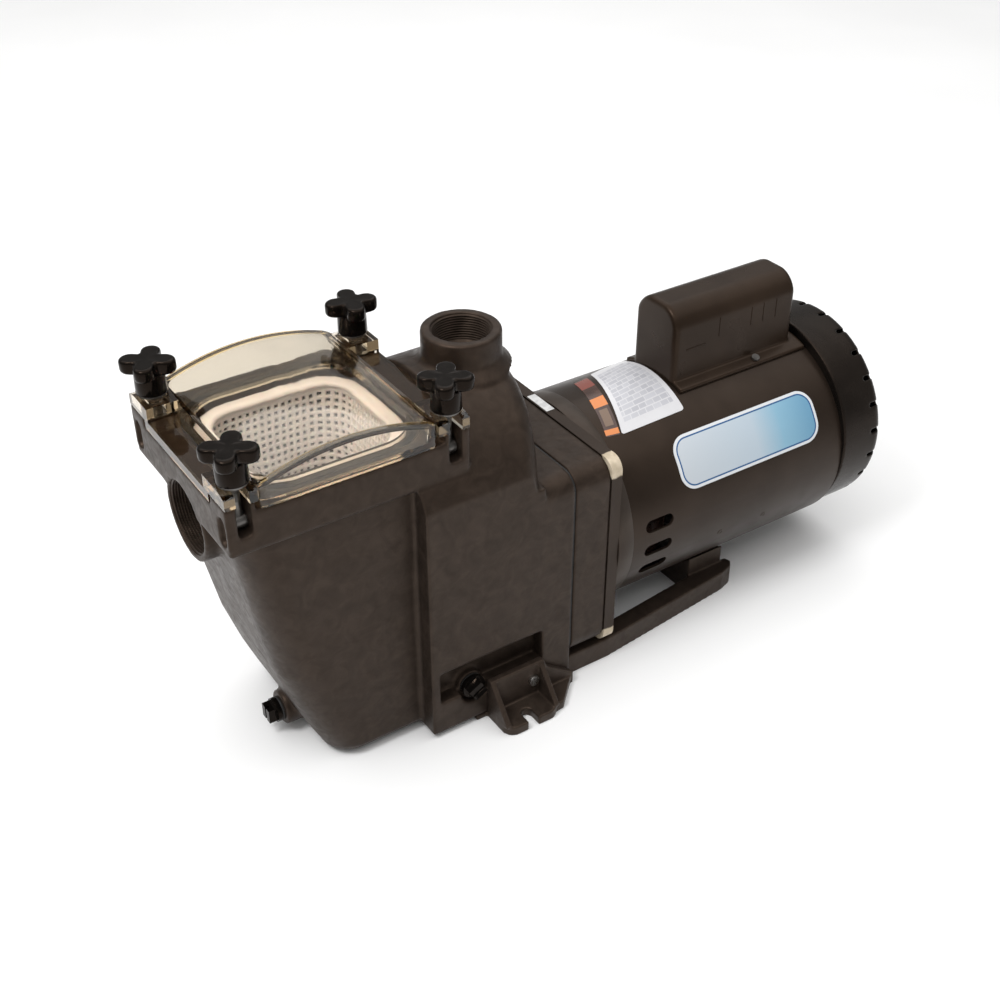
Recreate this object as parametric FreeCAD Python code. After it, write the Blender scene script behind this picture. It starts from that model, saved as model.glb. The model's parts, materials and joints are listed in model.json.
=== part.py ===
import FreeCAD, Part
import math
import os

V = FreeCAD.Vector

# Pool pump with a strainer pot, a clear lid held by four swing bolts, and a close-coupled
# single-phase motor.  Millimetres.  +X runs from the suction port to the motor, +Z is up.
# The origin lies on the floor under the discharge port, in the plane of symmetry.

# ---------------------------------------------------------------- driving dimensions
AXIS_Z = 118.0            # height of the shaft line above the floor
HALF = 95.0               # half width of the casing, flange and seal plate
RIM_HALF = 85.0           # half width of the strainer rim and its lid

RIM_X = (-242.0, -46.0)   # strainer rim, front and rear ends
RIM_Z = (246.0, 279.0)    # strainer rim, underside and gasket face
POST_TOP = 286.5          # corner posts that carry the swing bolts
POST_IN = 60.0            # inner face of the posts, from the plane of symmetry
FRONT_POST_X = (RIM_X[0], -219.0)
REAR_POST_X = (-67.0, RIM_X[1])
POT_WALL = 6.0
MOUTH_X = (-213.0, -73.0)  # opening of the pot under the lid
MOUTH_HALF = 65.0
MOUTH_R = 34.0
LEDGE_Z = 270.0           # seat of the basket brim

CASE_X = (-92.0, 17.0)    # pump casing between the pot and the flange
CASE_Z = (5.0, 213.0)
CROWN_Z = 190.0           # round back of the casing
CROWN_R = 103.0
CROWN_TOP = CROWN_Z + CROWN_R
CROWN_ROUND = 20.0        # radius along the rear edge of the back
REAR_X = -162.7           # round rear of the crown, seen from above
REAR_R = 196.7
FLANGE_X = 46.0           # rear face of the casing flange
CORNER_R = 16.0

PORT_Z = 318.0            # face of the discharge collar
PORT_R = 32.3
PORT_BORE = 24.1          # 1.5 in pipe thread, major radius
SUCTION_X = -241.0        # face of the suction collar
SUCTION_Z = 231.0
SUCTION_R = 35.0
SUCTION_BORE = 30.1       # 2 in pipe thread, major radius

BOLT_X = (-228.0, -58.0)  # swing bolt lines
BOLT_Y = 71.0
PIVOT_Z = 267.0
LUG_H = 31.5              # pivot to the seat of the knob washer
BOLT_R = 3.9
SLOT_W = 10.6
KNOB_R = 21.2
KNOB_TOP = 328.0
WASHER_T = 1.6

VAULT_X = (-217.0, -72.0)  # arched part of the lid
VAULT_TOP = 312.0
VAULT_ARC = 190.0
LID_WALL = 4.5
LID_FLANGE_TOP = 287.0

GASKET_T = 1.5
SEAL_X = (FLANGE_X + GASKET_T, 82.0)
BRACKET_X = (82.0, 92.5)
MOTOR_R = 96.0
SHELL_T = 2.5
SHELL_X = (92.5, 351.0)
COVER_X = (351.0, 400.0)
COVER_R = 98.5
COVER_Z = AXIS_Z + 7.0    # the rear cover sits a little high on the motor
COVER_SCREW_R = 84.0      # its two screws, from the shaft line

SHAFT_R = 8.0
BEARING_BORE = 8.5
BEARING_OD = 20.0
BEARING_W = 12.0
FRONT_BEARING_X = 100.0
REAR_BEARING_X = 331.0

CAP_X = (201.0, 339.0)    # capacitor cover
CAP_Y = 3.5
CAP_HALF = 28.0
CAP_TOP = 283.0
CAP_ROUND = 19.0

FOOT_SLOT_X = -14.0
FOOT_SLOT_Y = 117.0
FOOT_SLOT_R = 5.0
EAR_X = (-39.5, 14.0)
EAR_OUT = 128.0

DRAIN_Y = -10.0           # front drain
DRAIN_Z = 22.0
DRAIN_FACE_X = -190.0
SIDE_DRAIN_X = -51.0      # side drain
SIDE_DRAIN_Z = 38.0
SIDE_DRAIN_FACE_Y = -87.0
DRAIN_HOLE_R = 7.0


# ---------------------------------------------------------------- helpers
def box(x, y, z):
    """Axis-aligned box from three (low, high) pairs."""
    return Part.makeBox(x[1] - x[0], y[1] - y[0], z[1] - z[0], V(x[0], y[0], z[0]))


def cyl_x(r, x0, x1, y=0.0, z=AXIS_Z):
    return Part.makeCylinder(r, x1 - x0, V(x0, y, z), V(1, 0, 0))


def cyl_y(r, y0, y1, x, z):
    return Part.makeCylinder(r, y1 - y0, V(x, y0, z), V(0, 1, 0))


def cyl_z(r, z0, z1, x=0.0, y=0.0):
    return Part.makeCylinder(r, z1 - z0, V(x, y, z0), V(0, 0, 1))


def tube_x(r_out, r_in, x0, x1, y=0.0, z=AXIS_Z):
    return cyl_x(r_out, x0, x1, y, z).cut(cyl_x(r_in, x0 - 1, x1 + 1, y, z))


def fuse(shapes):
    first, *rest = shapes
    return first.multiFuse(rest).removeSplitter() if rest else first


def rounded_wire(x, y, z, r):
    """Rounded rectangle in a plane of constant z, eight edges from the same start corner."""
    (x0, x1), (y0, y1) = x, y
    k = r * (1 - math.sqrt(0.5))
    pts = [V(x0 + r, y0, z), V(x1 - r, y0, z), V(x1 - k, y0 + k, z), V(x1, y0 + r, z),
           V(x1, y1 - r, z), V(x1 - k, y1 - k, z), V(x1 - r, y1, z), V(x0 + r, y1, z),
           V(x0 + k, y1 - k, z), V(x0, y1 - r, z), V(x0, y0 + r, z), V(x0 + k, y0 + k, z)]
    line = lambda a, b: Part.makeLine(pts[a], pts[b])
    arc = lambda a, b, c: Part.Arc(pts[a], pts[b], pts[c]).toShape()
    return Part.Wire([line(0, 1), arc(1, 2, 3), line(3, 4), arc(4, 5, 6), line(6, 7),
                      arc(7, 8, 9), line(9, 10), arc(10, 11, 0)])


def slab_z(x, y, z, r):
    """Plate with rounded vertical edges."""
    return Part.Face(rounded_wire(x, y, z[0], r)).extrude(V(0, 0, z[1] - z[0]))


def slab_x(x, half, r):
    """Square plate across the shaft line, with rounded corners."""
    plate = slab_z((-half, half), (-half, half), (0, x[1] - x[0]), r)
    plate.rotate(V(0, 0, 0), V(0, 1, 0), 90)
    plate.translate(V(x[0], 0, AXIS_Z))
    return plate


def prism_x(points, x0, x1):
    """Extrude a closed outline of (y, z) points along X."""
    wire = Part.makePolygon([V(x0, y, z) for y, z in points + points[:1]])
    return Part.Face(wire).extrude(V(x1 - x0, 0, 0))


def prism_y(points, y0, y1):
    """Extrude a closed outline of (x, z) points along Y."""
    wire = Part.makePolygon([V(x, y0, z) for x, z in points + points[:1]])
    return Part.Face(wire).extrude(V(0, y1 - y0, 0))


def prism_z(points, z0, z1):
    """Extrude a closed outline of (x, y) points along Z."""
    wire = Part.makePolygon([V(x, y, z0) for x, y in points + points[:1]])
    return Part.Face(wire).extrude(V(0, 0, z1 - z0))


def turn_x(profile):
    """Revolve a closed outline of (x, radius) points about the shaft line."""
    wire = Part.makePolygon([V(x, 0, AXIS_Z + r) for x, r in profile + profile[:1]])
    return Part.Face(wire).revolve(V(0, 0, AXIS_Z), V(1, 0, 0), 360)


def around_x(shape, count, start=0.0, z=AXIS_Z):
    """Copies of a shape set round a line along X."""
    copies = []
    for i in range(count):
        copy = shape.copy()
        copy.rotate(V(0, 0, z), V(1, 0, 0), start + 360.0 * i / count)
        copies.append(copy)
    return copies


def hex_prism(across, length):
    r = across / math.sqrt(3)
    pts = [(r * math.cos(math.radians(60 * i)), r * math.sin(math.radians(60 * i)))
           for i in range(6)]
    return prism_z(pts, 0.0, length)


def soften(shape, radius, chosen):
    """Fillet the edges that the test accepts."""
    edges = [e for e in shape.Edges if chosen(e)]
    return shape.makeFillet(radius, edges) if edges else shape


def mirror_y(shape):
    return shape.mirror(V(0, 0, 0), V(0, 1, 0))


def corners():
    """The four swing-bolt positions: name, x, y, and the side that the bolt swings to."""
    for end, x in zip(("front", "rear"), BOLT_X):
        for side, sign in (("right", -1.0), ("left", 1.0)):
            yield end + "_" + side, x, sign * BOLT_Y, sign


def span(sign, near, far):
    """Low and high y of a range given outwards from the plane of symmetry."""
    return (near, far) if sign > 0 else (-far, -near)


# ---------------------------------------------------------------- pot and casing moulding
# Pot sections from the rim down: height, front x, half width, corner radius.
POT_SECTIONS = [(246.0, -234.0, 78.0, 30.0), (200.0, -225.0, 78.0, 30.0),
                (150.0, -216.0, 77.0, 30.0), (100.0, -206.5, 77.0, 32.0),
                (60.0, -194.0, 77.0, 32.0), (30.0, -182.5, 77.0, 30.0),
                (12.0, -174.0, 77.0, 28.0), (6.0, -171.5, 73.0, 24.0)]
POT_REAR = -64.0


def pot_loft(inset, sections):
    wires = []
    for z, front, half, r in sections:
        wires.append(rounded_wire((front + inset, POT_REAR - inset), (inset - half, half - inset),
                                  z, r - 0.5 * inset))
    return Part.makeLoft(wires, True, True)


def casing_blank(inset):
    """Casing and its round crown; inset > 0 gives the water space inside."""
    side = (inset - HALF, HALF - inset)
    lower = box((CASE_X[0] + inset, CASE_X[1] - inset), side, (CASE_Z[0] + inset, CASE_Z[1]))
    tall = (CASE_Z[1] - 30.0, 400.0)
    crown = cyl_x(CROWN_R - inset, CASE_X[0] + inset, 60.0, 0.0, CROWN_Z)
    crown = crown.common(cyl_z(REAR_R - inset, tall[0], tall[1], REAR_X, 0.0))
    if inset == 0.0:
        crown = soften(crown, CROWN_ROUND, lambda e: e.BoundBox.XMin > 0 and e.BoundBox.ZMax > 250)
    crown = crown.common(box((-200.0, 200.0), side, tall))
    crown = crown.cut(box((-200.0, RIM_X[1] + inset), (-200.0, 200.0), (RIM_Z[0] - 1, 400.0)))
    return lower, crown


def corner_slots():
    """Room for the four swing bolts, open to the sides and upwards."""
    return [box((x - SLOT_W / 2, x + SLOT_W / 2), span(sign, BOLT_Y - 7.0, HALF + 5),
                (PIVOT_Z - 7.0, 400)) for _, x, _, sign in corners()]


def post_pockets():
    """Oval pockets in the front faces of the two front posts."""
    shapes = []
    for y in (-75.5, 75.5):
        ends = [cyl_x(5.5, RIM_X[0] - 1, RIM_X[0] + 5, y, z) for z in (257.5, 270.5)]
        shapes += ends + [box((RIM_X[0] - 1, RIM_X[0] + 5), (y - 5.5, y + 5.5), (257.5, 270.5))]
    return shapes


def water_space():
    """Volute room behind the pot, kept clear of the recess beside the drain."""
    lower, crown = casing_blank(8.0)
    lower = lower.common(box((-58, 200), (-200, 200), (0, 300)))
    lower = lower.cut(box((-100, 200), (-200, -73), (0, 76)))
    return [lower, crown.common(box((-38, 200), (-200, 200), (0, CROWN_TOP - 14)))]


def pump_housing():
    rim = slab_z(RIM_X, (-RIM_HALF, RIM_HALF), RIM_Z, 4.0)
    posts = [box(x, span(sign, POST_IN, RIM_HALF), (RIM_Z[0] + 6, POST_TOP))
             for x in (FRONT_POST_X, REAR_POST_X) for sign in (-1.0, 1.0)]
    lower, crown = casing_blank(0.0)
    flange = slab_x((CASE_X[1] - 1, FLANGE_X), HALF, CORNER_R)
    base = box((CASE_X[1] - 1, FLANGE_X), (-HALF, HALF), (CASE_Z[0], AXIS_Z))
    collar = cyl_z(PORT_R, CROWN_TOP - 30, PORT_Z)
    collar = soften(collar, 2.0, lambda e: abs(e.CenterOfMass.z - PORT_Z) < 0.1)
    skirt = Part.makeCone(PORT_R + 9, PORT_R + 0.5, 9, V(0, 0, CROWN_TOP - 6))
    suction = cyl_x(SUCTION_R, SUCTION_X, -200.0, 0.0, SUCTION_Z)
    front_boss = cyl_x(15.0, DRAIN_FACE_X, -150.0, DRAIN_Y, DRAIN_Z)
    outer = fuse([rim, pot_loft(0.0, POT_SECTIONS), lower, crown, flange, base, collar, skirt,
                  suction, front_boss] + posts)

    mouth = slab_z(MOUTH_X, (-MOUTH_HALF, MOUTH_HALF), (LEDGE_Z, 400.0), MOUTH_R)
    throat = slab_z((MOUTH_X[0] + 4, MOUTH_X[1] - 4), (4 - MOUTH_HALF, MOUTH_HALF - 4),
                    (180.0, LEDGE_Z + 1), MOUTH_R - 4)
    tools = [mouth, throat, pot_loft(POT_WALL, POT_SECTIONS[:-1])] + water_space()
    tools.append(cyl_x(82.0, 0.0, 200.0))
    tools.append(cyl_x(30.0, -80.0, 0.0))
    tools.append(cyl_z(20.5, 200.0, 400.0))
    tools.append(cyl_z(PORT_BORE, PORT_Z - 25.0, 400.0))
    tools.append(cyl_x(26.0, -300.0, -200.0, 0.0, SUCTION_Z))
    tools.append(cyl_x(SUCTION_BORE, -300.0, SUCTION_X + 26.0, 0.0, SUCTION_Z))
    tools.append(box((-84.0, 16.0), (-120.0, 14 - HALF), (37.0, 68.0)))
    tools.append(cyl_y(13.5, -120.0, SIDE_DRAIN_FACE_Y, SIDE_DRAIN_X, SIDE_DRAIN_Z))
    tools.append(gasket_ring(5.0, (RIM_Z[1] - 3.0, RIM_Z[1] + 5.0)))
    housing = outer.cut(tools + corner_slots() + post_pockets())

    housing = housing.fuse(cyl_y(12.0, SIDE_DRAIN_FACE_Y, -74.0, SIDE_DRAIN_X, SIDE_DRAIN_Z))
    holes = [cyl_x(DRAIN_HOLE_R, -300.0, -135.0, DRAIN_Y, DRAIN_Z),
             cyl_y(DRAIN_HOLE_R, -200.0, -60.0, SIDE_DRAIN_X, SIDE_DRAIN_Z)]
    holes += pin_shapes(3.0) + bolt_line_shapes(4.0, (22.0, FLANGE_X + 1))
    holes += foot_screw_shapes(2.5)
    return housing.cut(holes).removeSplitter()


def gasket_ring(width, z):
    off = 3.0
    grow = lambda d: slab_z((MOUTH_X[0] - d, MOUTH_X[1] + d), (-MOUTH_HALF - d, MOUTH_HALF + d),
                            z, MOUTH_R + d)
    return grow(off + width).cut(grow(off))


def pin_shapes(r):
    return [cyl_x(r, x - 8.5, x + 8.5, y, PIVOT_Z) for _, x, y, _ in corners()]


def bolt_line_shapes(r, x):
    spots = [(y, z) for y in (-79.0, 79.0) for z in (-79.0, 79.0)]
    return [cyl_x(r, x[0], x[1], y, AXIS_Z + z) for y, z in spots]


def foot_screw_shapes(r):
    return [cyl_y(r, -HALF - 6.0, -HALF + 9.0, 3.0, 25.0),
            cyl_y(r, HALF - 9.0, HALF + 6.0, 3.0, 25.0)]


# ---------------------------------------------------------------- strainer lid and basket
def vault(inset, floor):
    """Box as wide as the rim, with a roof that arches along X."""
    x = (VAULT_X[0] + inset, VAULT_X[1] - inset)
    half = RIM_HALF - inset
    roof = cyl_y(VAULT_ARC - inset, -half, half, 0.5 * (x[0] + x[1]), VAULT_TOP - VAULT_ARC)
    return slab_z(x, (-half, half), (floor, 400.0), 7.0).common(roof)


def strainer_lid():
    apron = box((RIM_X[0] + 0.5, RIM_X[1] - 0.5), (3 - POST_IN, POST_IN - 3),
                (RIM_Z[1], LID_FLANGE_TOP))
    seat_z = PIVOT_Z + LUG_H
    lugs = []
    for _, x, y, sign in corners():
        ends = (RIM_X[0] + 0.5, VAULT_X[0] + 1) if x < VAULT_X[0] else (VAULT_X[1] - 1,
                                                                       RIM_X[1] - 0.5)
        lug = box(ends, span(sign, POST_IN - 10, RIM_HALF), (POST_TOP + 0.1, seat_z))
        corner = box(ends, span(sign, BOLT_Y, RIM_HALF + 1), (PIVOT_Z, seat_z + 1))
        lugs.append(lug.cut(corner.cut(cyl_x(LUG_H, ends[0], ends[1], y, PIVOT_Z))))
    shell = fuse([vault(0.0, RIM_Z[1]), apron] + lugs)
    opening = slab_z((MOUTH_X[0] + 2, MOUTH_X[1] - 2), (2 - MOUTH_HALF, MOUTH_HALF - 2),
                     (RIM_Z[1] - 1, 300.0), MOUTH_R - 2)
    hollow = vault(LID_WALL, RIM_Z[1] + LID_WALL)
    room = opening.common(vault(LID_WALL, RIM_Z[1] - 1)).fuse(hollow)
    return shell.cut([room] + corner_slots()).removeSplitter()


def lid_gasket():
    return gasket_ring(4.6, (RIM_Z[1] - 3.0, RIM_Z[1]))


def basket_wires(inset):
    rows = [(264.0, -202.0, -84.0, 54.0, 26.0), (150.0, -196.0, -92.0, 50.0, 24.0),
            (46.0 + inset, -160.0, -96.0, 46.0, 22.0)]
    return [rounded_wire((a + inset, b - inset), (inset - h, h - inset), z, r - 0.7 * inset)
            for z, a, b, h, r in rows]


def strainer_basket():
    wall = 2.4
    body = Part.makeLoft(basket_wires(0.0), True, False)
    brim = slab_z((-212.5, -73.5), (-64.5, 64.5), (LEDGE_Z + 0.2, LEDGE_Z + 4.2), 33.5)
    neck = slab_z((-208.4, -77.6), (-60.4, 60.4), (262.0, LEDGE_Z + 1), 29.4)
    room = Part.makeLoft(basket_wires(wall), True, False)
    mouth = slab_z((-199.6, -86.4), (-51.6, 51.6), (261.0, 290.0), 24.3)
    inflow = cyl_x(28.0, -230.0, -180.0, 0.0, SUCTION_Z)
    return fuse([body, neck, brim]).cut([room, mouth, inflow])


# ---------------------------------------------------------------- clamps at the lid corners
def swing_bolt(x, y):
    eye = cyl_x(6.2, x - 4.6, x + 4.6, y, PIVOT_Z)
    rod = cyl_z(BOLT_R, PIVOT_Z, KNOB_TOP - 8.0, x, y)
    bore = cyl_x(3.05, x - 10, x + 10, y, PIVOT_Z)
    return eye.fuse(rod).cut(bore).removeSplitter()


def knob_washer(x, y):
    z0 = PIVOT_Z + LUG_H + 0.05
    return cyl_z(11.0, z0, z0 + WASHER_T, x, y).cut(cyl_z(BOLT_R + 0.1, 0, 400, x, y))


def lid_knob(x, y, angle):
    """Four-lobed star on a round hub, with a blind threaded hole."""
    z0 = PIVOT_Z + LUG_H + 0.05 + WASHER_T
    star_z = KNOB_TOP - 10.5
    lobe_r = 6.6
    reach = KNOB_R - lobe_r
    hub = cyl_z(12.0, z0, KNOB_TOP - 2.0, x, y)
    hub = soften(hub, 1.5, lambda e: abs(e.CenterOfMass.z - z0) < 0.1)
    parts = [hub, cyl_z(11.5, star_z, KNOB_TOP, x, y)]
    for i in range(4):
        a = math.radians(angle + 90 * i)
        cx, cy = x + reach * math.cos(a), y + reach * math.sin(a)
        parts.append(cyl_z(lobe_r, star_z, KNOB_TOP, cx, cy))
        arm = box((0, reach), (-lobe_r * 0.85, lobe_r * 0.85), (star_z, KNOB_TOP))
        arm.rotate(V(0, 0, 0), V(0, 0, 1), angle + 90 * i)
        arm.translate(V(x, y, 0))
        parts.append(arm)
    return fuse(parts).cut(cyl_z(BOLT_R + 0.05, 0, KNOB_TOP - 6.0, x, y))


# ---------------------------------------------------------------- drains
def drain_plug(face_gap):
    """Plug along +Z from its seat: threaded stem inwards, collar, square head with a slot."""
    stem = Part.makeCylinder(6.9, 12.0, V(0, 0, -12.0))
    collar = Part.makeCylinder(10.5, 4.0, V(0, 0, face_gap))
    neck = Part.makeCylinder(6.9, face_gap + 1, V(0, 0, -1.0))
    head = box((-6.5, 6.5), (-6.5, 6.5), (face_gap + 3, face_gap + 11.0))
    slot = box((-10, 10), (-1.2, 1.2), (face_gap + 7.5, 40))
    return fuse([stem, neck, collar, head]).cut(slot)


def drain_gasket(thick):
    return Part.makeCylinder(10.2, thick).cut(Part.makeCylinder(7.0, thick))


def to_front_drain(shape):
    shape.rotate(V(0, 0, 0), V(0, 1, 0), -90)
    shape.translate(V(DRAIN_FACE_X, DRAIN_Y, DRAIN_Z))
    return shape


def to_side_drain(shape):
    shape.rotate(V(0, 0, 0), V(0, 0, 1), 30)
    shape.rotate(V(0, 0, 0), V(1, 0, 0), 90)
    shape.translate(V(SIDE_DRAIN_X, SIDE_DRAIN_FACE_Y, SIDE_DRAIN_Z))
    return shape


# ---------------------------------------------------------------- hydraulic parts
def diffuser():
    profile = [(-72, 25), (-72, 29.6), (-28, 29.6), (-26, 72), (40, 72), (40, 68), (-21, 68),
               (-23, 29), (-30, 25)]
    cup = turn_x(profile)
    window = box((-14.0, 28.0), (-14.0, 14.0), (AXIS_Z + 60, AXIS_Z + 80))
    seat = cyl_x(27.0, -28.0, -16.0)
    return cup.cut(around_x(window, 8, 22.5) + [seat])


def wear_ring():
    return tube_x(27.0, 24.4, -28.0, -20.5)


def impeller():
    back = turn_x([(24, SHAFT_R), (28, SHAFT_R), (28, 16), (24, 60), (20, 60), (21, 18),
                   (14, 14), (-8, 11), (-8, SHAFT_R)])
    front = turn_x([(-28, 24.0), (-28, 20.5), (-16, 21), (-2, 30), (3, 60), (0, 60), (-6, 31),
                    (-18, 24.0)])
    disc = cyl_x(60.0, -18.0, 28.0)
    bend = (24.0, AXIS_Z + 40)
    crescent = cyl_x(46.0, -18.0, 28.0, *bend).cut(cyl_x(43.0, -18.0, 28.0, *bend))
    room = turn_x([(-3, 30), (2, 59.5), (22, 59.5), (22, 19), (15, 19), (-3, 24)])
    blade = max(disc.common(crescent).common(room).Solids, key=lambda s: s.Volume)
    return fuse([back, front] + around_x(blade, 6))


def impeller_screw():
    head = cyl_x(9.0, -14.0, -8.0)
    stem = cyl_x(4.0, -8.5, 6.0)
    slot = box((-15, -12), (-1.2, 1.2), (AXIS_Z - 20, AXIS_Z + 20))
    return head.fuse(stem).cut(slot)


def seal_head():
    return turn_x([(28.0, SHAFT_R), (28.0, 15.0), (30.0, 15.0), (30.0, 13.0), (41.0, 13.0),
                   (41.0, 16.0), (45.0, 16.0), (45.0, SHAFT_R)])


def seal_seat():
    return tube_x(17.0, 8.6, 45.05, 53.0)


def seal_plate():
    plate = slab_x(SEAL_X, HALF - 0.8, CORNER_R + 2)
    spigot = cyl_x(81.5, 40.05, SEAL_X[0] + 1)
    tools = [cyl_x(17.0, 45.0, 53.0), cyl_x(20.0, 30.0, 45.05), cyl_x(9.5, 30.0, 100.0),
             tube_x(70.0, 34.0, 58.0, 100.0), cyl_x(30.0, 70.0, 100.0)]
    body = plate.fuse(spigot).cut(tools + bolt_line_shapes(4.0, (0.0, 200.0)))
    spoke = box((54.0, SEAL_X[1]), (-4, 4), (AXIS_Z + 33, AXIS_Z + 71))
    return body.fuse(around_x(spoke, 6, 30.0))


def housing_gasket():
    plate = slab_x((FLANGE_X, SEAL_X[0]), HALF - 2.0, CORNER_R)
    return plate.cut([cyl_x(81.6, 0, 100)] + bolt_line_shapes(4.0, (0.0, 200.0)))


def housing_bolts():
    shapes = []
    for line in bolt_line_shapes(3.98, (24.0, BRACKET_X[1])):
        c = line.BoundBox.Center
        head = hex_prism(13.0, 5.5)
        head.rotate(V(0, 0, 0), V(0, 1, 0), 90)
        head.translate(V(BRACKET_X[1], c.y, c.z))
        shapes.append(line.fuse(head).removeSplitter())
    return Part.makeCompound(shapes)


# ---------------------------------------------------------------- motor
def motor_front_bracket():
    plate = slab_x(BRACKET_X, HALF, CORNER_R - 4)
    spigot = tube_x(MOTOR_R - SHELL_T - 0.02, 84.0, BRACKET_X[1] - 1, 104.0)
    hub = cyl_x(28.0, BRACKET_X[1] - 1, FRONT_BEARING_X + BEARING_W + 1.0)
    tools = [cyl_x(BEARING_OD, FRONT_BEARING_X, 140.0), cyl_x(10.0, 0, 200),
             cyl_x(26.0, 80.0, 87.0)]
    tools += bolt_line_shapes(4.0, (0.0, 200.0)) + through_bolt_shapes(2.6)
    return fuse([plate, spigot, hub]).cut(tools)


def vent_slots():
    """Three air slots on each side of the motor, ahead of the stator."""
    slots = []
    r = 6.0
    for angle in (82.0, 97.0, 111.5):
        bar = fuse([cyl_y(r, 80, 110, x, AXIS_Z) for x in (128.0, 146.0)]
                   + [box((128.0, 146.0), (80, 110), (AXIS_Z - r, AXIS_Z + r))])
        bar.rotate(V(0, 0, AXIS_Z), V(1, 0, 0), 90.0 - angle)
        slots += [bar, mirror_y(bar)]
    return slots


def motor_shell():
    shell = tube_x(MOTOR_R, MOTOR_R - SHELL_T, SHELL_X[0], SHELL_X[1])
    wires = cyl_z(8.0, AXIS_Z + 80, AXIS_Z + 120, 274.0, 0.0)
    return shell.cut(vent_slots() + [wires] + cover_screw_shapes(2.0, 4.0))


def stator_core():
    return tube_x(MOTOR_R - SHELL_T - 0.02, 46.5, 160.0, 275.0).cut(through_bolt_shapes(2.6))


def stator_windings():
    ring = lambda a, b: turn_x([(a, 52), (a, 72), (a + 6, 80), (b - 6, 80), (b, 76), (b, 50)])
    front = ring(136.0, 160.0)
    rear = front.mirror(V(217.5, 0, 0), V(1, 0, 0))
    return Part.makeCompound([front, rear])


def rotor_core():
    return turn_x([(156, 20), (156, 44), (279, 44), (279, 20), (272, 20), (272, 12),
                   (163, 12), (163, 20)])


def motor_shaft():
    steps = [(-6.0, SHAFT_R), (96.0, BEARING_BORE), (FRONT_BEARING_X + BEARING_W, 12.0),
             (REAR_BEARING_X, BEARING_BORE)]
    ends = [x for x, _ in steps[1:]] + [380.0]
    shaft = fuse([cyl_x(r, x, end) for (x, r), end in zip(steps, ends)])
    return shaft.cut(cyl_x(4.0, -11.0, 6.0))


def bearing(x):
    """Deep-groove ball bearing: outer ring, inner ring and balls."""
    pitch = 0.5 * (BEARING_BORE + BEARING_OD)
    ball_r = 3.3
    mid = x + BEARING_W / 2
    groove = Part.makeTorus(pitch, ball_r + 0.05, V(mid, 0, AXIS_Z), V(1, 0, 0))
    outer = tube_x(BEARING_OD, pitch + 2.3, x, x + BEARING_W).cut(groove)
    inner = tube_x(pitch - 2.3, BEARING_BORE, x, x + BEARING_W).cut(groove)
    balls = [Part.makeSphere(ball_r, V(mid, pitch * math.cos(a), AXIS_Z + pitch * math.sin(a)))
             for a in [2 * math.pi * i / 8 for i in range(8)]]
    return outer, inner, Part.makeCompound(balls)


def slinger():
    return turn_x([(73.0, SHAFT_R), (73.0, 12), (74.5, 18), (76.0, 18), (77.0, 12),
                   (77.0, SHAFT_R)])


def motor_rear_bracket():
    x1 = SHELL_X[1]
    disc = cyl_x(MOTOR_R - SHELL_T - 0.02, x1 - 8.0, x1)
    hub = cyl_x(28.0, REAR_BEARING_X - 1.0, x1)
    air = box((300, 400), (-12, 12), (AXIS_Z + 42, AXIS_Z + 66))
    tools = [cyl_x(BEARING_OD, 300.0, REAR_BEARING_X + BEARING_W), cyl_x(10.0, 0, 400)]
    tools += around_x(air, 6) + through_bolt_shapes(2.6)
    tools += around_x(cyl_x(2.5, x1 - 9, x1 + 5, 0.0, AXIS_Z + COVER_SCREW_R), 2, 90.0)
    return disc.fuse(hub).cut(tools)


def through_bolt_shapes(r):
    spots = [(s * 60.0, t * 60.0) for s in (-1, 1) for t in (-1, 1)]
    return [cyl_x(r, BRACKET_X[1], 400.0, y, AXIS_Z + z) for y, z in spots]


def motor_through_bolts():
    shapes = []
    for rod in through_bolt_shapes(2.5):
        c = rod.BoundBox.Center
        rod = rod.common(box((0, SHELL_X[1] + 1), (-200, 200), (-100, 400)))
        head = hex_prism(8.0, 4.0)
        head.rotate(V(0, 0, 0), V(0, 1, 0), 90)
        head.translate(V(SHELL_X[1], c.y, c.z))
        shapes.append(rod.fuse(head).removeSplitter())
    return Part.makeCompound(shapes)


def cooling_fan():
    x = SHELL_X[1] + 6.0
    hub = tube_x(16.0, BEARING_BORE, x, x + 18.0)
    disc = tube_x(60.0, 12.0, x + 14.0, x + 17.0)
    blade = box((x + 2.0, x + 15.0), (-1.2, 1.2), (AXIS_Z + 14, AXIS_Z + 58))
    return fuse([hub, disc] + around_x(blade, 8, 10.0))


def rear_cover():
    x0, x1 = COVER_X
    cup = cyl_x(COVER_R, x0, x1, 0.0, COVER_Z)
    cup = soften(cup, 9.0, lambda e: abs(e.CenterOfMass.x - x1) < 0.1)
    room = cyl_x(COVER_R - 3.0, x0 - 1, x1 - 3.0, 0.0, COVER_Z)
    vent = box((x1 - 20, x1 + 5), (-3.0, 3.0), (COVER_Z + 55, COVER_Z + 84))
    notch = box((x1 - 14, x1 + 5), (-2.0, 2.0), (COVER_Z + COVER_R - 6, COVER_Z + COVER_R + 5))
    shell = cup.cut([room] + around_x(vent, 16, 11.25, COVER_Z) + around_x(notch, 24, 7.5, COVER_Z))
    line_z = AXIS_Z + COVER_SCREW_R
    bosses = around_x(cyl_x(6.0, x0, x1 - 1, 0.0, line_z), 2, 90.0)
    return shell.multiFuse(bosses).cut(around_x(cyl_x(2.5, x0 - 1, x1 + 5, 0.0, line_z), 2, 90.0))


def rear_cover_screws():
    stem = cyl_x(2.4, COVER_X[0] - 6.0, COVER_X[1] + 0.5, 0.0, AXIS_Z + COVER_SCREW_R)
    head = cyl_x(5.0, COVER_X[1], COVER_X[1] + 3.0, 0.0, AXIS_Z + COVER_SCREW_R)
    return Part.makeCompound(around_x(stem.fuse(head).removeSplitter(), 2, 90.0))


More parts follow.
